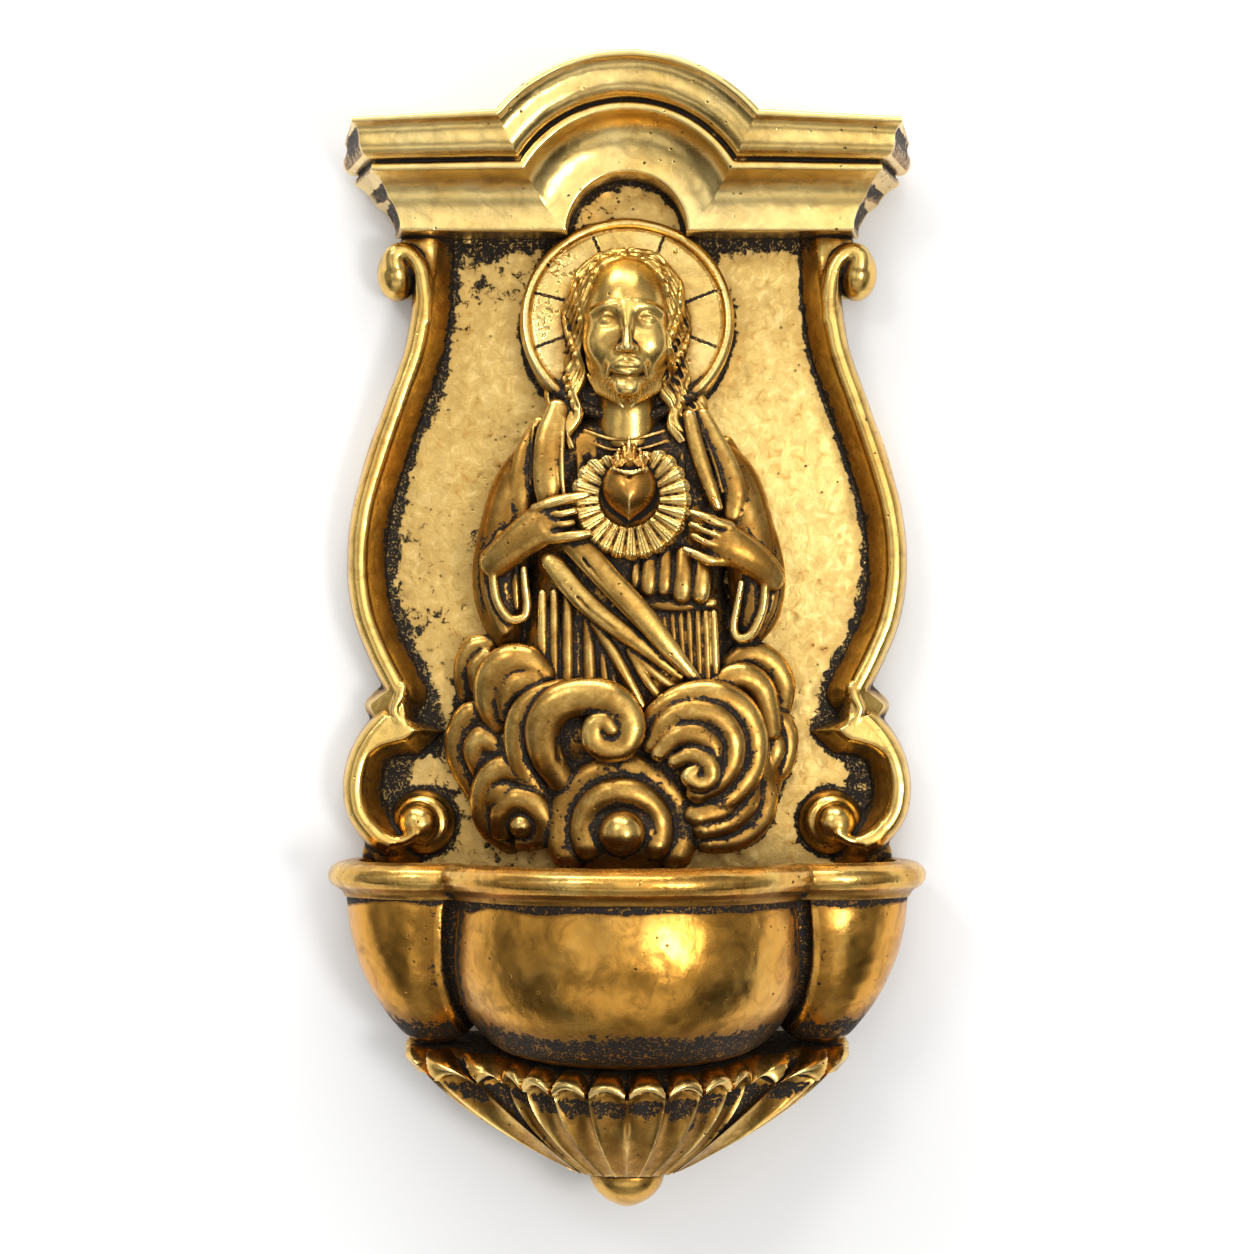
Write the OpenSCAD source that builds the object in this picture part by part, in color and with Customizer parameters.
// A holy water stoup to hang on a wall, cast in brass: a scrolled back plate under a
// moulded cornice, a half figure with a heart rising from clouds, and a three-lobed
// basin carried on a fluted cup. x runs to the right, y into the wall and z up. The
// wall is the plane y = 0, and the origin lies midway between the two hanging holes.

/* [Back plate] */
// Thickness of the back plate
plate_t = 4; // [3:0.5:6]
// Distance of each hanging hole from the middle
hang_x = 42; // [38:1:45]
// Radius of the round part of a hanging hole
hang_r = 5; // [4.5:0.25:6]
// Width of the slot that drops over the wall screw
slot_w = 5; // [4:0.25:5.5]
// Rise of the slot above the round part
slot_rise = 7; // [5:0.5:8]
// Depth of the pocket behind the cornice for the head of a wall screw
pocket_d = 6; // [4:0.5:7]

/* [Cornice] */
// Half width of the cornice along its top edge
wing_w = 66; // [64:0.5:70]
// Height of the top edge of the wings above the hanging holes
wing_z = 14; // [13:0.5:16]
// Height of the moulding
cornice_h = 27; // [26:0.5:29]
// Reach of the top edge in front of the plate
top_reach = 30; // [26:0.5:36]
// Reach of the middle fillet in front of the plate
mid_reach = 22; // [19:0.5:24]
// Reach of the lower edge in front of the plate
low_reach = 13.5; // [11:0.5:16]
// Drop of the middle fillet below the top edge
fillet_drop = 10.5; // [9:0.5:12]
// Height of the middle fillet
fillet_h = 2.4; // [1.5:0.1:3]
// Height of the plain lips at the top and bottom edges
lip_h = 1.4; // [0.8:0.1:2]
// Radius of the arch along its top edge
arch_r = 41.7; // [40:0.1:43]
// Rise of the arch above the wings
arch_rise = 14.5; // [12:0.5:16]
// Angle that the returned ends splay towards the wall
end_draft = 6; // [3:0.5:8]

/* [Scroll border] */
// Inset of the crest at the waist from the ends of the cornice
waist_in = 17; // [15:0.5:19]
// Drop of the waist below the hanging holes
waist_drop = 28.7; // [27:0.5:30]
// Radius of the hollow of the waist
waist_r = 50; // [45:1:54]
// Radius of the belly above its widest point
belly_r = 86; // [80:1:90]
// Radius of the belly below its widest point
haunch_r = 52; // [48:1:56]
// Turn of the border from the waist to the belly
belly_turn = 28.4; // [26:0.2:29]
// Turn of the border from the belly to the nick
haunch_turn = 36.3; // [34:0.2:38]
// Height of the crest above the plate
crest_h = 9.5; // [8:0.25:12]
// Width of the border outside its crest
outer_w = 4; // [3.5:0.1:4.5]
// Width of the border inside its crest
inner_w = 4.6; // [4:0.1:5.5]
// Radius of the lower volute
volute_r = 8; // [7:0.1:8.2]
// Radius of the upper volute
curl_r = 6.6; // [6:0.1:6.8]

/* [Halo] */
// Radius of the halo
halo_r = 26.4; // [25:0.2:27]
// Drop of the middle of the halo below the hanging holes
halo_drop = 34; // [33:0.5:35]
// Reach of the middle of the halo in front of the plate
halo_reach = 9; // [8.5:0.5:10]
// Lean of the halo back towards the plate
halo_lean = 12; // [8:0.5:13]
// Radius of the rolled rim of the halo
halo_roll = 1.5; // [1:0.1:1.8]
// Width of the cut lines of the cross in the halo
halo_line = 0.6; // [0.4:0.1:1]

/* [Figure] */
// Half width of the figure across the chest
chest_w = 26; // [25:0.5:27]
// Relief of the chest in front of the plate
chest_relief = 18; // [17:0.5:20]
// Drop of the foot of the robe below the hanging holes
robe_drop = 124; // [123:0.5:126]
// Width of the heart
heart_w = 13; // [12:0.25:14]
// Radius of the glory of rays around the heart
glory_r = 14.2; // [13:0.2:15]
// Radius of the pin that holds the heart
heart_pin_r = 2; // [1.5:0.1:2.5]

/* [Clouds] */
// Radius of the ringed cloud at the middle of the bank
ring_cloud_r = 16; // [15:0.25:16.5]
// Radius of the great cloud curl
great_curl_r = 12; // [11:0.25:12.5]
// Relief of the clouds in front of the plate
cloud_relief = 26; // [24:0.5:28]

/* [Basin] */
// Drop of the rim of the basin below the hanging holes
rim_drop = 166.5; // [166.5:0.25:168]
// Radius of the middle lobe under the rim
middle_r = 43.5; // [42:0.25:45]
// Distance of the axis of the middle lobe from the wall
middle_out = 22; // [21:0.25:24]
// Radius of each side lobe under the rim
side_r = 21.7; // [21:0.1:22.5]
// Distance of the axis of each side lobe from the middle
side_x = 46.5; // [45:0.25:48]
// Distance of the axis of each side lobe from the wall
side_out = 16; // [15:0.25:18]
// Depth of the basin from the rim moulding to its foot, at the back
bowl_h = 33.5; // [32:0.25:35]
// Fall of the foot of the basin towards the front
foot_fall = 8; // [6:0.25:9]
// Thickness of the wall of the basin
bowl_wall = 3; // [2.5:0.1:3.5]
// Thickness of the floor of the basin
floor_t = 7; // [6.5:0.25:8]
// Thickness of the back wall of the basin
back_wall = 6; // [5.5:0.25:7]
// Height of the rim moulding
rim_h = 8.7; // [7.5:0.1:9.5]
// Overhang of the rim moulding past the wall
rim_over = 4.6; // [4:0.1:5]

/* [Cup and finial] */
// Half width of the cup under its collar
cup_w = 54.5; // [53.5:0.25:55.5]
// Reach of the front of the cup from its axis
cup_front = 25; // [24:0.25:26]
// Distance of the axis of the cup and finial from the wall
cup_out = 24; // [23:0.25:25]
// Height of the cup below the foot of the basin, at the back
cup_h = 32; // [30.5:0.25:34]
// Outward bow of the side of the cup
cup_bow = 6; // [5:0.25:7]
// Radius of the foot of the cup, over the finial
cup_foot = 12.5; // [11.5:0.25:13.5]
// Number of flutes under the middle lobe
middle_flutes = 8; // [6:2:10]
// Number of flutes under each side lobe, the last one running back to the plate
side_flutes = 4; // [3:1:5]
// Depth of the flutes under the collar
flute_d = 1.7; // [1:0.1:2]
// Height of the scalloped collar
collar_h = 5; // [4:0.25:6]
// Overhang of the collar past the flutes
collar_over = 1.8; // [1.2:0.1:2.2]
// Thickness of the wall of the cup
cup_wall = 4.5; // [4:0.25:5]
// Radius of the finial
finial_r = 9; // [8.5:0.25:10]
// Height of the finial
finial_h = 8.6; // [8:0.2:10]
// Radius of the stud that ties the cup to the basin
stud_r = 3; // [2.5:0.25:3.5]
// Length of the stud inside the floor of the basin
stud_grip = 4.5; // [4:0.25:5.5]
// Length of the stud inside the finial
stud_tail = 5; // [4:0.25:6]

/* [Fixings] */
// Radius of the larger screws, for the cornice, figure, clouds and basin
big_screw_r = 2; // [1.5:0.1:2.2]
// Radius of the smaller screws, for the scrolls and halo
small_screw_r = 1.5; // [1.2:0.1:1.7]
// Length of a screw inside the piece that it holds
screw_grip = 4.5; // [4:0.25:5]
// Depth of a screw head below the back face
head_sink = 0.3; // [0.2:0.1:0.6]
// Gap between a screw, pin or stud and its hole
fit_gap = 0.1; // [0.05:0.05:0.2]
// Gap between pieces that sit side by side
side_gap = 0.2; // [0.1:0.05:0.3]

/* [Hidden] */
$fn = 64;
brass = [0.80, 0.60, 0.24];
dark_brass = [0.52, 0.38, 0.17];
steel = [0.62, 0.62, 0.60];
far = 200;
arch_z = wing_z + arch_rise - arch_r;
wing_foot = wing_z - cornice_h;
side_recess = 0.8;
cyma_sag = 0.7;
cove_sag = 2.6;
plate_lip = 0.6;
waist_x = wing_w - waist_in;
waist_z = -waist_drop;
border_step = 4;
border_arcs = [[waist_r, belly_turn], [belly_r, -belly_turn], [haunch_r, -haunch_turn]];
nick = arc_stop([waist_x, waist_z], -90, border_arcs);
lower_arcs = [[200, -1.2], [6, -50], [17, -55], [13.5, -100]];
lower_start = nick + [-5.2, -11.2];
lower_path = arc_run(lower_start, 15, lower_arcs);
volute_at = nick + [-5.2, -34];
curl_at = [waist_x + 5.8, waist_z + 7.2];
rim_z = -rim_drop;
foot_z = rim_z - rim_h - bowl_h;
fall_angle = atan(foot_fall / (middle_out + middle_r));
cup_base = foot_z - cup_h;
hub_r = stud_r + 3.5;
heart_at = [0.4, -79];
glory_d = plate_t + chest_relief + 1;
robe_z = -robe_drop;
ring_cloud_at = [-1.2, rim_z + 9];
cornice_screws_at = [[-28, wing_z - 9], [28, wing_z - 9], [0, arch_z + arch_r - 12]];
scroll_screws_at = [border_point(0.62), volute_at];
halo_screws_at = [[-12, -halo_drop + 8], [12, -halo_drop + 8]];
figure_screws_at = [[0, -72], [0, -108]];
cloud_screws_at = [[-20, -145], [20, -145]];
basin_screws_at = [[-30, foot_z + bowl_h / 2], [30, foot_z + bowl_h / 2]];

// Arcs given as [radius, turn] follow one another from a point and a heading.
function arc_step(p, h, a) =
    p + sign(a[1]) * a[0] * [sin(h + a[1]) - sin(h), cos(h) - cos(h + a[1])];
function arc_count(a) = max(3, ceil(a[0] * abs(a[1]) * PI / 180 / border_step));
function arc_run(p, h, arcs, i = 0) = i == len(arcs) ? [[p[0], p[1], h]] : let (n = arc_count(arcs[i]))
    concat(
        [for (k = [0 : n - 1]) let (t = arcs[i][1] * k / n, q = arc_step(p, h, [arcs[i][0], t]))
            [q[0], q[1], h + t]],
        arc_run(arc_step(p, h, arcs[i]), h + arcs[i][1], arcs, i + 1));
function arc_stop(p, h, arcs, i = 0) =
    i == len(arcs) ? p : arc_stop(arc_step(p, h, arcs[i]), h + arcs[i][1], arcs, i + 1);
function border_path() = arc_run([waist_x, waist_z], -90, border_arcs);
function border_point(t) = let (path = border_path(), s = path[round(t * (len(path) - 1))]) [s[0], s[1]];
// The point at a sideways offset from a station [x, y, heading], to its left.
function beside(s, u) = [s[0] - u * sin(s[2]), s[1] + u * cos(s[2])];

// Points between p and q on a shallow bow, which bulges to the left by sag.
function bow(p, q, sag, n) = [for (i = [1 : n - 1]) let (t = i / n, s = q - p)
    p + t * s + 4 * sag * t * (1 - t) * [-s[1], s[0]] / norm(s)];
function mean(pts) = [for (i = [0 : 2]) [for (p = pts) p[i]] * [for (p = pts) 1] / len(pts)];
function unit(v) = v / norm(v);

// A smooth path through points of any width, with n steps from one to the next.
function through(p, n) = concat([for (i = [0 : len(p) - 2], k = [0 : n - 1])
    let (a = p[max(i - 1, 0)], b = p[i], c = p[i + 1], d = p[min(i + 2, len(p) - 1)], t = k / n)
    b + 0.5 * t * (c - a + t * (2 * a - 5 * b + 4 * c - d + t * (3 * b - a - 3 * c + d)))],
    [p[len(p) - 1]]);

// A closed solid through rings of points, each going round to the left of the way ahead,
// closed by a fan about a middle point at either end.
module loft(rings, middles = undef) {
    n = len(rings);
    m = len(rings[0]);
    ends = is_undef(middles) ? [mean(rings[0]), mean(rings[n - 1])] : middles;
    polyhedron(
        points = concat([for (r = rings) each r], ends),
        faces = concat(
            [for (i = [0 : n - 2], j = [0 : m - 1]) let (a = i * m + j, b = i * m + (j + 1) % m)
                each [[a, b + m, b], [a, a + m, b + m]]],
            [for (j = [0 : m - 1]) [n * m, j, (j + 1) % m]],
            [for (j = [0 : m - 1]) [n * m + 1, (n - 1) * m + (j + 1) % m, (n - 1) * m + j]]));
}

// A round strand through points [x, y, depth, radius]; flat squeezes it towards the plate.
module strand(points, steps = 3, sides = 8, flat = 1) {
    path = through(points, steps);
    last = len(path) - 1;
    loft([for (i = [0 : last])
        let (p = path[i], ahead = path[min(i + 1, last)] - path[max(i - 1, 0)],
            t = unit([ahead[0], ahead[1], ahead[2]]), l = unit(cross([0, 0, 1], t)), b = cross(t, l))
        [for (j = [0 : sides - 1]) let (a = 360 * j / sides)
            [p[0], p[1], p[2]] + p[3] * (cos(a) * l + flat * sin(a) * b)]]);
}

// Relief is drawn facing the viewer, with depth measured out from the wall.
module relief() {
    rotate([90, 0, 0]) children();
}

module mirrored() {
    children();
    mirror([1, 0, 0]) children();
}

// Holds back whatever lies behind the front of the plate.
module in_front(gap = 0) {
    intersection() {
        children();
        translate([-far, -2 * far, plate_t + gap]) cube([2 * far, 3 * far, far]);
    }
}

// A countersunk screw from the back face, and the hole that it leaves when gap is more than 0.
module back_screw(at, r, gap = 0) {
    head_h = r;
    sink = gap > 0 ? -1 : head_sink;
    translate([at[0], at[1], 0]) {
        translate([0, 0, head_sink]) cylinder(r1 = 2 * r + gap, r2 = r + gap, h = head_h);
        translate([0, 0, sink]) cylinder(r = gap > 0 ? 2 * r + gap : r, h = head_sink - sink + 0.01);
        translate([0, 0, head_sink]) cylinder(r = r + gap, h = plate_t + screw_grip + gap - head_sink);
    }
}

module screw_group(places, r, gap = 0) {
    for (at = places) back_screw(at, r, gap);
}

// Profile of the cornice as [drop, reach] points, from its top lip down to its lower edge.
function moulding(top, mid, low) =
    let (nose = [fillet_drop, mid + 0.25 * (top - mid)], start = [lip_h, top],
        turn = (nose + start) / 2, cove = [fillet_drop + fillet_h, mid], foot = [cornice_h - lip_h, low])
    concat([[0, top], start], bow(start, turn, -cyma_sag, 5), [turn], bow(turn, nose, cyma_sag, 5),
        [nose, [fillet_drop, mid], cove], bow(cove, foot, -cove_sag, 8), [foot, [cornice_h, low]]);

// What the moulding leaves cut away in front of it, as [drop, reach] points.
function moulding_waste(top, mid, low) = concat([[cornice_h + 1, top + 1], [0, top + 1]],
    moulding(top, mid, low), [[cornice_h + 1, low]]);

module wing_cutter() {
    waste = moulding_waste(top_reach, mid_reach, low_reach);
    translate([-far / 2, wing_z, plate_t]) rotate([0, 90, 0]) rotate([0, 0, 90])
        linear_extrude(far) polygon([for (p = waste) [-p[0], p[1]]]);
}

module arch_cutter() {
    translate([0, arch_z, plate_t]) rotate_extrude()
        polygon([for (p = moulding_waste(top_reach, mid_reach, low_reach)) [arch_r - p[0], p[1]]]);
}

module end_cutter() {
    reach = side_recess * top_reach;
    line = [for (p = moulding(reach, side_recess * mid_reach, side_recess * low_reach))
        [wing_w - reach + p[1], wing_z - p[0]]];
    translate([wing_w, 0, plate_t + top_reach]) rotate([0, -end_draft, 0])
        translate([-wing_w, 0, -2 * top_reach]) linear_extrude(3 * top_reach)
            polygon(concat([[wing_w + far, wing_z + 1], [wing_w, wing_z + 1]], line,
                [[line[len(line) - 1][0], wing_foot - 1], [wing_w + far, wing_foot - 1]]));
}

// The rounded slot for the head of a wall screw, with a radius and a width for its two ends.
module keyhole_shape(r, w) {
    circle(r);
    translate([-w / 2, 0]) square([w, slot_rise]);
    translate([0, slot_rise]) circle(w / 2);
}

module cornice_block() {
    translate([0, 0, plate_t]) linear_extrude(top_reach) difference() {
        union() {
            translate([-wing_w - top_reach, wing_foot]) square([2 * (wing_w + top_reach), cornice_h]);
            translate([0, arch_z]) circle(arch_r);
        }
        translate([-far, wing_foot - far]) square([2 * far, far]);
    }
}

module cornice() {
    head_r = hang_r + 1;
    color(brass) relief() difference() {
        cornice_block();
        wing_cutter();
        arch_cutter();
        translate([0, arch_z, 0]) cylinder(r = arch_r - cornice_h, h = far);
        mirrored() end_cutter();
        mirrored() translate([hang_x, 0, plate_t - 1]) linear_extrude(pocket_d + 1)
            keyhole_shape(head_r, 2 * head_r);
        screw_group(cornice_screws_at, big_screw_r, fit_gap);
    }
}

module cornice_screws() {
    color(steel) relief() screw_group(cornice_screws_at, big_screw_r);
}

// Half of the outline of the plate, from its top edge down to its foot.
function plate_half() = let (path = border_path(), foot_w = side_x - 8) concat(
    [[wing_w - 3, wing_z - 3], [wing_w - 17, wing_foot + 1]],
    [for (s = path) beside(s, outer_w - plate_lip)],
    [nick + [6.4, -2], nick + [7.6, -5.2], nick + [6.8, -8.6]],
    [for (s = lower_path) if (s[0] > nick[0] + 5 && s[1] < nick[1] - 12) beside(s, outer_w - plate_lip)],
    [volute_at + [0, plate_lip - volute_r], [foot_w, rim_z - rim_h], [foot_w, foot_z + 4]]);

module plate_blank() {
    half = plate_half();
    last = len(half) - 1;
    linear_extrude(plate_t) polygon(concat(half, [for (i = [last : -1 : 0]) [-half[i][0], half[i][1]]]));
    translate([0, arch_z, 0]) cylinder(r = arch_r - 4, h = plate_t);
    for (s = [-1, 1]) {
        translate([s * curl_at[0], curl_at[1], 0]) cylinder(r = curl_r - plate_lip, h = plate_t);
        translate([s * volute_at[0], volute_at[1], 0]) cylinder(r = volute_r - plate_lip, h = plate_t);
    }
}

module back_plate() {
    color(dark_brass) relief() difference() {
        plate_blank();
        mirrored() translate([hang_x, 0, -1]) linear_extrude(plate_t + 2) keyhole_shape(hang_r, slot_w);
        screw_group(cornice_screws_at, big_screw_r, fit_gap);
        mirrored() screw_group(scroll_screws_at, small_screw_r, fit_gap);
        screw_group(halo_screws_at, small_screw_r, fit_gap);
        screw_group(figure_screws_at, big_screw_r, fit_gap);
        screw_group(cloud_screws_at, big_screw_r, fit_gap);
        screw_group(basin_screws_at, big_screw_r, fit_gap);
    }
}

// Cross-section of the border at a station, from its outer foot over the crest to its inner foot.
function ridge_ring(s, out, in, h) = [for (q = [[out, 0], [0.66 * out, 0.6 * h], [0.3 * out, 0.94 * h],
    [0, h], [-0.28 * in, 0.92 * h], [-0.6 * in, 0.52 * h], [-in, 0]])
    let (p = beside(s, q[0])) [p[0], p[1], plate_t + q[1]]];

module upper_ridge() {
    path = border_path();
    last = len(path) - 1;
    loft([for (i = [0 : last]) let (t = i / last, swell = 1 + 0.35 * max(0, t - 0.8) / 0.2)
        ridge_ring(path[i], swell * outer_w, swell * inner_w, crest_h)]);
}

module lower_ridge() {
    last = len(lower_path) - 1;
    loft([for (i = [0 : last]) let (g = min(1, 0.25 + i / 5))
        ridge_ring(lower_path[i], g * outer_w, g * inner_w, (0.55 + 0.45 * g) * crest_h)]);
}

// The tooth between the two ridges, which juts out past the edge of the plate.
module nick_tooth() {
    at = nick + [0, -5.2];
    loft([for (q = [[-3, 0.7], [2, 0.9], [5.5, 0.8], [7.8, 0.5], [8.6, 0.2]])
        ridge_ring([at[0] + q[0], at[1], 0], 4.6 * min(1, 0.4 + q[1]), 4.6 * min(1, 0.4 + q[1]),
            q[1] * crest_h)]);
}

module upper_curl() {
    arcs = [[20, -25], [4.6, -65], [3.6, -90], [3.2, -70]];
    path = arc_run([waist_x, waist_z - 1], 90, arcs);
    last = len(path) - 1;
    d = plate_t + crest_h - 2.6;
    strand([for (i = [0 : last]) [path[i][0], path[i][1], d + 1.2 * i / last, 2.4 + 0.5 * i / last]], 1, 10);
    translate([curl_at[0], curl_at[1], plate_t]) cylinder(r1 = curl_r, r2 = curl_r - 1.6, h = crest_h - 2);
}

module lower_volute() {
    translate([volute_at[0], volute_at[1], plate_t]) rotate_extrude()
        polygon(concat([[0, 0], [volute_r, 0]], bow([volute_r, 0], [3.2, crest_h], -0.9, 6),
            [[3.2, crest_h]], bow([3.2, crest_h], [0, crest_h + 2.4], -0.9, 4), [[0, crest_h + 2.4]]));
}

module scroll() {
    relief() difference() {
        union() {
            upper_ridge();
            upper_curl();
            nick_tooth();
            lower_ridge();
            lower_volute();
        }
        screw_group(scroll_screws_at, small_screw_r, fit_gap);
    }
}

module right_scroll() {
    color(brass) scroll();
}

module left_scroll() {
    color(brass) mirror([1, 0, 0]) scroll();
}

module scroll_screws() {
    color(steel) relief() mirrored() screw_group(scroll_screws_at, small_screw_r);
}

module halo_axis() {
    translate([0, -halo_drop, plate_t + halo_reach]) rotate([-halo_lean, 0, 0]) children();
}

// The leaning disc of the halo with its rolled rim, run back to the plate; grow widens it.
module halo_body(grow = 0) {
    halo_axis() rotate_extrude()
        polygon(concat([[0, -far / 4], [halo_r + grow, -far / 4], [halo_r + grow, 0]],
            [for (a = [0 : 20 : 180]) [halo_r - halo_roll, 0] + (halo_roll + grow) * [cos(a), sin(a)]],
            [[halo_r - 2 * halo_roll - 0.3, -0.5 + grow], [0, -0.5 + grow]]));
}

module halo() {
    chord = -halo_drop - 0.82 * halo_r;
    color(brass) relief() difference() {
        in_front() halo_body();
        translate([-far, chord - far, 0]) cube([2 * far, far, far]);
        halo_axis() for (a = [0, 90, 180], s = [-1, 1]) rotate([0, 0, a])
            translate([3 * halo_roll, s * 7 - halo_line / 2, -0.5 - halo_line])
                cube([halo_r - 5.4 * halo_roll, halo_line, 2 * halo_line]);
        screw_group(halo_screws_at, small_screw_r, fit_gap);
    }
}

module halo_screws() {
    color(steel) relief() screw_group(halo_screws_at, small_screw_r);
}

// The robe as half-oval sections, each [height, share of the width, share of the relief].
module robe() {
    levels = [[-58, 0.4, 0.5], [-64, 0.66, 0.72], [-70, 0.9, 0.88], [-80, 1, 1], [-92, 0.98, 1],
        [-104, 0.86, 0.88], [-114, 0.9, 0.92], [robe_z, 1, 0.98]];
    loft([for (q = through(levels, 2)) [for (a = [0 : 15 : 180])
        [q[1] * chest_w * cos(a), q[0], plate_t + q[2] * chest_relief * pow(sin(a), 0.8)]]]);
}

// A hanging sleeve, from the shoulder round the elbow to its drooping end.
module sleeve(side, grow = 0) {
    strand([for (q = [[18, -66, 8, 5.5], [26, -74, 9, 7], [30, -87, 9.5, 7.5], [31.5, -99, 10, 7],
        [30.5, -109, 9.5, 5], [28.5, -115, 9, 2]]) [side * q[0], q[1], plate_t + q[2], q[3] + grow]], 2, 9);
}

// A hand laid towards the heart: wrist and palm, then four fingers fanning from the knuckles.
module hand(wrist, knuckle, tips) {
    d = plate_t + chest_relief;
    palm = (wrist + knuckle) / 2;
    strand([[wrist[0], wrist[1], d - 3, 5], [palm[0], palm[1], d - 1, 5.2],
        [knuckle[0], knuckle[1], d - 0.5, 3.6]], 2, 8, 0.7);
    for (tip = tips) hull() {
        translate([knuckle[0], (knuckle[1] + tip[1]) / 2, d - 1]) sphere(1.7, $fn = 10);
        translate([tip[0], tip[1], d + 0.5]) sphere(1.3, $fn = 10);
    }
}

module head() {
    translate([0, -37, plate_t + 15]) scale([1, 1.5, 1.05]) sphere(11.6, $fn = 22);
    translate([0, -57, plate_t + 9]) rotate([-90, 0, 0]) cylinder(r = 7.6, h = 16, $fn = 16, center = true);
    hull() {
        translate([0, -35, plate_t + 26.5]) sphere(0.9, $fn = 10);
        translate([0, -42, plate_t + 28]) sphere(1.5, $fn = 10);
    }
    for (s = [-1, 1]) strand([for (q = [[1, -20, 19, 4], [8, -22, 17, 5.2], [13, -32, 13, 5],
        [13.6, -45, 11, 4.6], [15, -57, 12, 4.2], [15, -66, 14, 3.4], [13.6, -72, 15, 1.6]])
        [s * q[0], q[1], plate_t + q[2], q[3]]], 2, 8);
}

// Depth at which a pleat of the robe lies, falling away to the sides.
function pleat_lie(x) = plate_t + chest_relief - 0.012 * x * x;

module drapery() {
    top = plate_t + chest_relief;
    sash = [[-16, -93, top - 3, 3.2], [-4, -102, top - 0.5, 3.6], [9, -112, top - 1, 3],
        [20, robe_z, top - 4, 1.6]];
    strand(sash, 2, 8, 0.9);
    strand([for (p = sash) p + [-3.5, -7, -1, -0.4]], 2, 8, 0.9);
    strand([[-1, -104, top - 2.5, 1.8], [12, -104.5, top - 3, 2], [21, -103.5, top - 7, 1.6]], 2, 7);
    for (x = [-19, -13.5, -8, 4, 10, 16]) strand([[x, -106, pleat_lie(x) - 4.5, 1.8],
        [1.05 * x, -115, pleat_lie(x) - 3.8, 2.2], [1.1 * x, robe_z, pleat_lie(x) - 3, 2.4]], 1, 7);
    for (s = [-1, 1], k = [0, 1]) strand([[s * (15 + 2 * k), -62 - 5 * k, top - 8, 2],
        [s * (18 + 5 * k), -74, top - 5 - 3 * k, 2.6], [s * (19 + 6 * k), -88, top - 4 - 4 * k, 2]], 2, 7);
}

module figure() {
    color(brass) relief() difference() {
        in_front() union() {
            robe();
            head();
            drapery();
            for (s = [-1, 1]) sleeve(s);
            hand([-31, -93], [-18, -86], [[-9.6, -79], [-10.5, -82.4], [-10.8, -85.6], [-10.5, -88.6]]);
            hand([33, -97], [20, -90], [[13.2, -83], [12.4, -86.4], [12.4, -89.6], [13.4, -92.8]]);
        }
        halo_body(side_gap);
        translate([-far, robe_z - far, 0]) cube([2 * far, far, far]);
        heart_seat();
        screw_group(figure_screws_at, big_screw_r, fit_gap);
    }
}

module figure_screws() {
    color(steel) relief() screw_group(figure_screws_at, big_screw_r);
}

// The flat sinking in the breast, and the hole for the pin, that take the heart.
module heart_seat() {
    translate([heart_at[0], heart_at[1], glory_d]) cylinder(r = glory_r + 1.2, h = far);
    translate([heart_at[0], heart_at[1], glory_d - 5]) cylinder(r = heart_pin_r + fit_gap, h = far);
}

// Outline of a heart about its middle, scaled to a width of 1.
function heart_curve(n) = [for (i = [0 : n - 1]) let (t = -360 * i / n)
    [16 * pow(sin(t), 3), 13 * cos(t) - 5 * cos(2 * t) - 2 * cos(3 * t) - cos(4 * t) + 2.5] / 32];

module heart_form() {
    curve = heart_curve(28);
    loft([for (q = [[1, 0], [1.02, 0.14], [0.96, 0.3], [0.8, 0.42], [0.5, 0.5], [0.18, 0.53]])
        [for (p = curve) [q[0] * heart_w * p[0], q[0] * heart_w * p[1], q[1] * heart_w]]]);
}

// The glory: ridged rays of two lengths round the heart.
module glory() {
    rays = 26;
    loft([for (h = [0, 1]) [for (i = [0 : 2 * rays - 1]) let (a = 180 * i / rays, ridge = i % 2,
        r = glory_r * (ridge == 0 ? 1 : 0.9)) [r * cos(a), r * sin(a), h * (ridge == 0 ? 1.6 : 0.9)]]]);
}

module flame() {
    for (k = [-2 : 2]) strand([[1.3 * k, 0.4 * heart_w, 2.6, 1.1],
        [1.9 * k, 0.6 * heart_w - 0.4 * abs(k), 3.2, 1.2],
        [1.5 * k, 0.92 * heart_w - abs(k), 2.4, 0.3]], 2, 7);
}

module sacred_heart() {
    color(brass) relief() translate([heart_at[0], heart_at[1], glory_d]) {
        glory();
        translate([0, 0, 0.8]) heart_form();
        flame();
        translate([0, 0, fit_gap - 5]) cylinder(r = heart_pin_r, h = 5.5);
    }
}

// A cloud puff that swells from the plate: a centre, a radius and a relief.
module puff(at, r, h) {
    hull() {
        translate([at[0], at[1], plate_t]) cylinder(r = 0.92 * r, h = 1, $fn = 18);
        translate([at[0], at[1], plate_t + h - 0.75 * r]) scale([1, 1, 0.75]) sphere(r, $fn = 18);
    }
}

// A curl that winds in on itself from a radius and angle, rising towards its eye.
module cloud_curl(at, r, start, turn, thick, h) {
    n = 16;
    strand([for (i = [0 : n]) let (t = i / n, a = start + turn * t, q = r * (1 - 0.78 * t))
        [at[0] + q * cos(a), at[1] + q * sin(a), plate_t + h - thick + 1.5 * t,
            thick * (1 - 0.45 * t)]], 1, 9);
}

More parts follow.
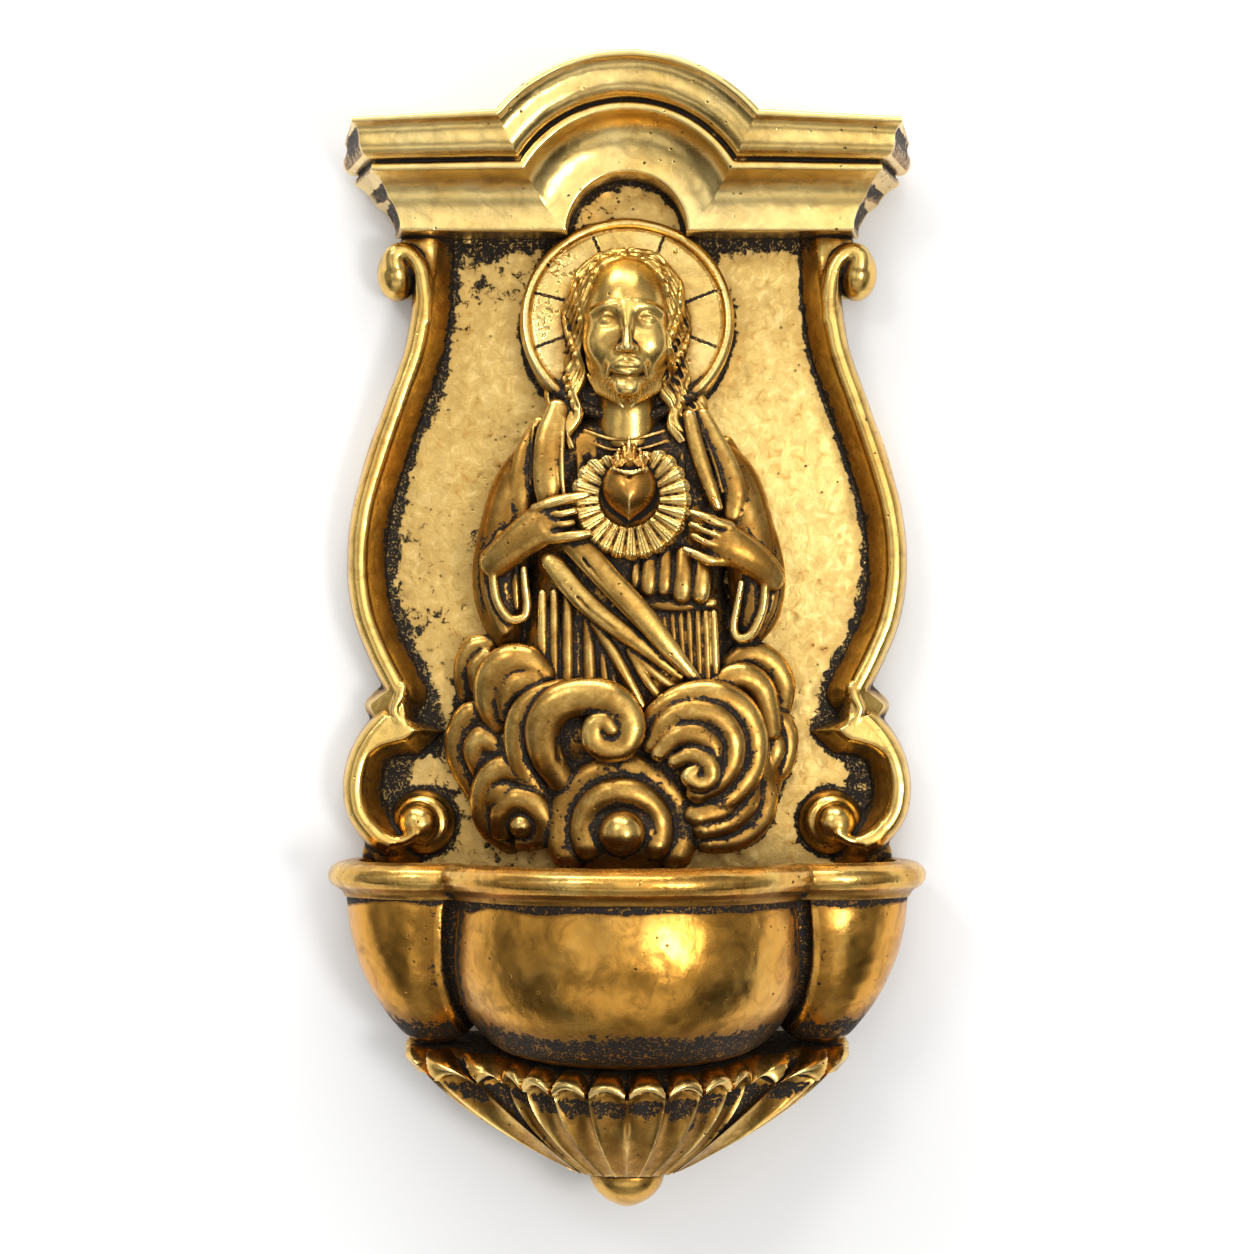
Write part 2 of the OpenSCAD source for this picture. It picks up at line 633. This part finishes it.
module cloud_rings() {
    foot = [ring_cloud_r, 0];
    outer = [0.66 * ring_cloud_r, 0.8 * cloud_relief];
    groove = [0.62 * ring_cloud_r, 0.76 * cloud_relief];
    inner = [0.33 * ring_cloud_r, 0.92 * cloud_relief];
    ball = [0.33 * ring_cloud_r, 0.88 * cloud_relief];
    top = [0, cloud_relief + 2];
    translate([ring_cloud_at[0], ring_cloud_at[1], plate_t]) rotate_extrude($fn = 40)
        polygon(concat([[0, 0], foot], bow(foot, outer, -2.6, 5), [outer], bow(groove, inner, -1.5, 4),
            [ball], bow(ball, top, -1.2, 4), [top]));
}

module cloud_bank() {
    puffs = [[-26, -125.5, 10.5, 0.62], [-37, -121, 7, 0.4], [-36.5, -139, 8.5, 0.5], [-26.5, -154, 9.5, 0.7],
        [27, -124.5, 9.5, 0.64], [34, -121, 7, 0.42], [35, -138, 8.5, 0.46], [27.5, -155.5, 9.5, 0.7],
        [16, -144, 16, 0.7], [-14, -140, 14, 0.66]];
    great = [-8, -136.6];
    right = [16, -143];
    color(brass) relief() difference() {
        in_front() union() {
            for (p = puffs) puff(p, p[2], p[3] * cloud_relief);
            cloud_rings();
            cloud_curl(great, great_curl_r, 215, -430, 3.4, 0.86 * cloud_relief);
            cloud_curl(right, 14, 160, -380, 3.2, 0.8 * cloud_relief);
            cloud_curl([-26.5, -154], 8, 100, -330, 2.6, 0.72 * cloud_relief);
        }
        translate([-chest_w - 1, robe_z - side_gap, 0]) cube([2 * chest_w + 2, far, far]);
        for (s = [-1, 1]) sleeve(s, side_gap);
        translate([-far, rim_z + side_gap - far, 0]) cube([2 * far, far, far]);
        screw_group(cloud_screws_at, big_screw_r, fit_gap);
    }
}

module cloud_screws() {
    color(steel) relief() screw_group(cloud_screws_at, big_screw_r);
}

// Half section of a lobe from its rim down past its foot, on an arc that bows out: deep is its depth,
// narrow its radius there and bulge its bow, both as shares of the radius, and inset thins it.
function lobe_side(r, deep, narrow, bulge, inset) = let (top = rim_z - rim_h, start = [r - inset, top],
        stop = [narrow * r - inset, top - deep + inset])
    concat([start], bow(start, stop, bulge * r, 10), [stop]);

module lobe(side, over) {
    rotate_extrude() polygon(concat([[0, side[len(side) - 1][1]], [0, side[0][1] + over],
        [side[0][0], side[0][1] + over]], side));
}

module three_lobes(inset, over = 0) {
    translate([0, -middle_out, 0]) lobe(lobe_side(middle_r, bowl_h + foot_fall + 2, 0.42, 0.23, inset), over);
    for (s = [-1, 1]) translate([s * side_x, -side_out, 0])
        lobe(lobe_side(side_r, bowl_h + 3, 0.2, 0.2, inset), over);
}

// Everything below the sloping foot of the basin, raised by some height.
module under_foot(raise) {
    translate([0, 0, foot_z + raise]) rotate([fall_angle, 0, 0]) translate([-far, -far, -far])
        cube([2 * far, 2 * far, far]);
}

// Everything nearer the wall than a distance from it.
module wall_side(out) {
    translate([-far, -out, -2 * far]) cube([2 * far, far, 4 * far]);
}

module basin() {
    color(brass) difference() {
        three_lobes(0);
        under_foot(0);
        wall_side(plate_t);
        difference() {
            three_lobes(bowl_wall, 1);
            under_foot(floor_t);
            wall_side(plate_t + back_wall);
        }
        relief() screw_group(basin_screws_at, big_screw_r, fit_gap);
        translate([0, -cup_out, stud_top() + fit_gap - far]) cylinder(r = stud_r + fit_gap, h = far);
    }
}

module basin_screws() {
    color(steel) relief() screw_group(basin_screws_at, big_screw_r);
}

// Height of the foot of the basin at the axis of the cup, and of the top of the stud.
function foot_at_axis() = foot_z - cup_out * tan(fall_angle);
function stud_top() = foot_at_axis() + stud_grip;

// The bead of one lobe, as a ring that overhangs the wall below it.
module rim_ring(r) {
    low = rim_z - rim_h;
    swell = [r + rim_over, rim_z - 0.34 * rim_h];
    rotate_extrude() polygon(concat([[0, low], [r + 0.3, low]], bow([r + 0.3, low], swell, -0.8, 5), [swell],
        bow(swell, [r + 0.5, rim_z], -1.2, 5), [[r + 0.5, rim_z], [0, rim_z]]));
}

module rim_moulding() {
    color(brass) difference() {
        union() {
            translate([0, -middle_out, 0]) rim_ring(middle_r);
            for (s = [-1, 1]) translate([s * side_x, -side_out, 0]) rim_ring(side_r);
        }
        translate([0, -middle_out, 0]) rim_bore(middle_r);
        for (s = [-1, 1]) translate([s * side_x, -side_out, 0]) rim_bore(side_r);
        wall_side(plate_t);
    }
}

module rim_bore(r) {
    translate([0, 0, rim_z - rim_h - 1]) cylinder(r = r - bowl_wall, h = rim_h + 2);
}

// Half width of the cup at a share of its height below the top.
function cup_half(v) = (cup_w - cup_foot) * (1 - v) + cup_foot;
// Height of the sloping top of the cup at a distance from the wall.
function cup_top(out) = foot_z - out * tan(fall_angle);
function cup_level(v, out) = cup_top(out) * (1 - v) + cup_base * v;
// The plan of the cup under the basin, counted in flutes from the front: round the middle lobe, on
// round the side lobe, and at last straight back to the plate. A stop is [x, out] and the way it faces.
cup_stops = middle_flutes / 2 + side_flutes;
function cup_stop(k) = let (m = middle_flutes / 2, r = cup_out + cup_front - middle_out, a = 70 * k / m,
        b = 90 * (k - m - 1) / (side_flutes - 2), x = side_x - 3.5)
    k <= m ? [[(r + 3) * sin(a), middle_out + r * cos(a)], [sin(a), cos(a)]]
    : k < cup_stops ? [[x + (cup_w - x) * sin(b), side_out + 10.5 * cos(b)], [sin(b), cos(b)]]
    : [[cup_w, plate_t], [1, 0]];
// The same stop at the finial.
function knob_stop(k) = let (a = 90 * min(k / (cup_stops - 1), 1))
    [cup_foot * sin(a), k == cup_stops ? plate_t : cup_out + cup_foot * cos(a)];
// One ring of the cup at a share of its height, standing out by grow, with its flutes cut in by
// groove and its edge raised over each flute by arch.
function cup_ring(v, grow, groove, arch) = let (per = 4, n = cup_stops * per, swell = 4 * cup_bow * v * (1 - v) + grow)
    [for (i = [-n : n]) let (k = min(floor(abs(i) / per), cup_stops - 1), f = abs(i) / per - k, t = sin(180 * f),
        a = cup_stop(k), b = cup_stop(k + 1), way = a[1] * (1 - f) + b[1] * f,
        p = (a[0] * (1 - f) + b[0] * f) * (1 - v) + (knob_stop(k) * (1 - f) + knob_stop(k + 1) * f) * v
            + (swell - groove * t) * way / norm(way))
        [i < 0 ? p[0] : -p[0], cup_level(v, p[1]) + arch * t, max(p[1], plate_t)]];

module cup_form() {
    drop = collar_h / cup_h;
    under = drop + 0.5 / cup_h;
    rings = concat([cup_ring(0, 0, -collar_over, 0), cup_ring(0.7 * drop, collar_over, 0, 0.6),
        cup_ring(drop, collar_over, 0, 1.6), cup_ring(under, 0, 0.6 * flute_d, 1.6)],
        [for (k = [1 : 6]) let (v = under + (1 - under) * k / 6) cup_ring(v, 0, flute_d * (1.1 - 0.8 * v), 0)]);
    loft(rings, [[0, cup_top(cup_out), cup_out], [0, cup_base, cup_out]]);
}

// The hollow in the back of the cup, open towards the wall.
module cup_hollow() {
    deep = cup_out - hub_r;
    top = cup_top(deep) - cup_wall;
    low = cup_base + 0.3 * cup_h;
    upper_w = cup_half((foot_z - top) / cup_h) - cup_wall;
    lower_w = cup_half((foot_z - low) / cup_h) - cup_wall;
    linear_extrude(deep) polygon([[-upper_w, top], [-lower_w, low], [lower_w, low], [upper_w, top]]);
}

module fluted_cup() {
    color(brass) difference() {
        relief() difference() {
            cup_form();
            cup_hollow();
        }
        translate([0, -cup_out, cup_base - 1]) cylinder(r = stud_r + fit_gap, h = far);
    }
}

module finial() {
    color(brass) translate([0, -cup_out, cup_base]) difference() {
        rotate_extrude() polygon(concat([[0, 0]],
            [for (a = [0 : 6 : 90]) [finial_r * pow(cos(a), 1.3), -finial_h * sin(a)]]));
        translate([0, 0, -stud_tail - fit_gap]) cylinder(r = stud_r + fit_gap, h = far);
    }
}

module tie_stud() {
    low = cup_base - stud_tail;
    color(steel) translate([0, -cup_out, low]) cylinder(r = stud_r, h = stud_top() - low);
}

back_plate();
cornice();
left_scroll();
right_scroll();
halo();
figure();
sacred_heart();
cloud_bank();
basin();
rim_moulding();
fluted_cup();
finial();
tie_stud();
cornice_screws();
scroll_screws();
halo_screws();
figure_screws();
cloud_screws();
basin_screws();
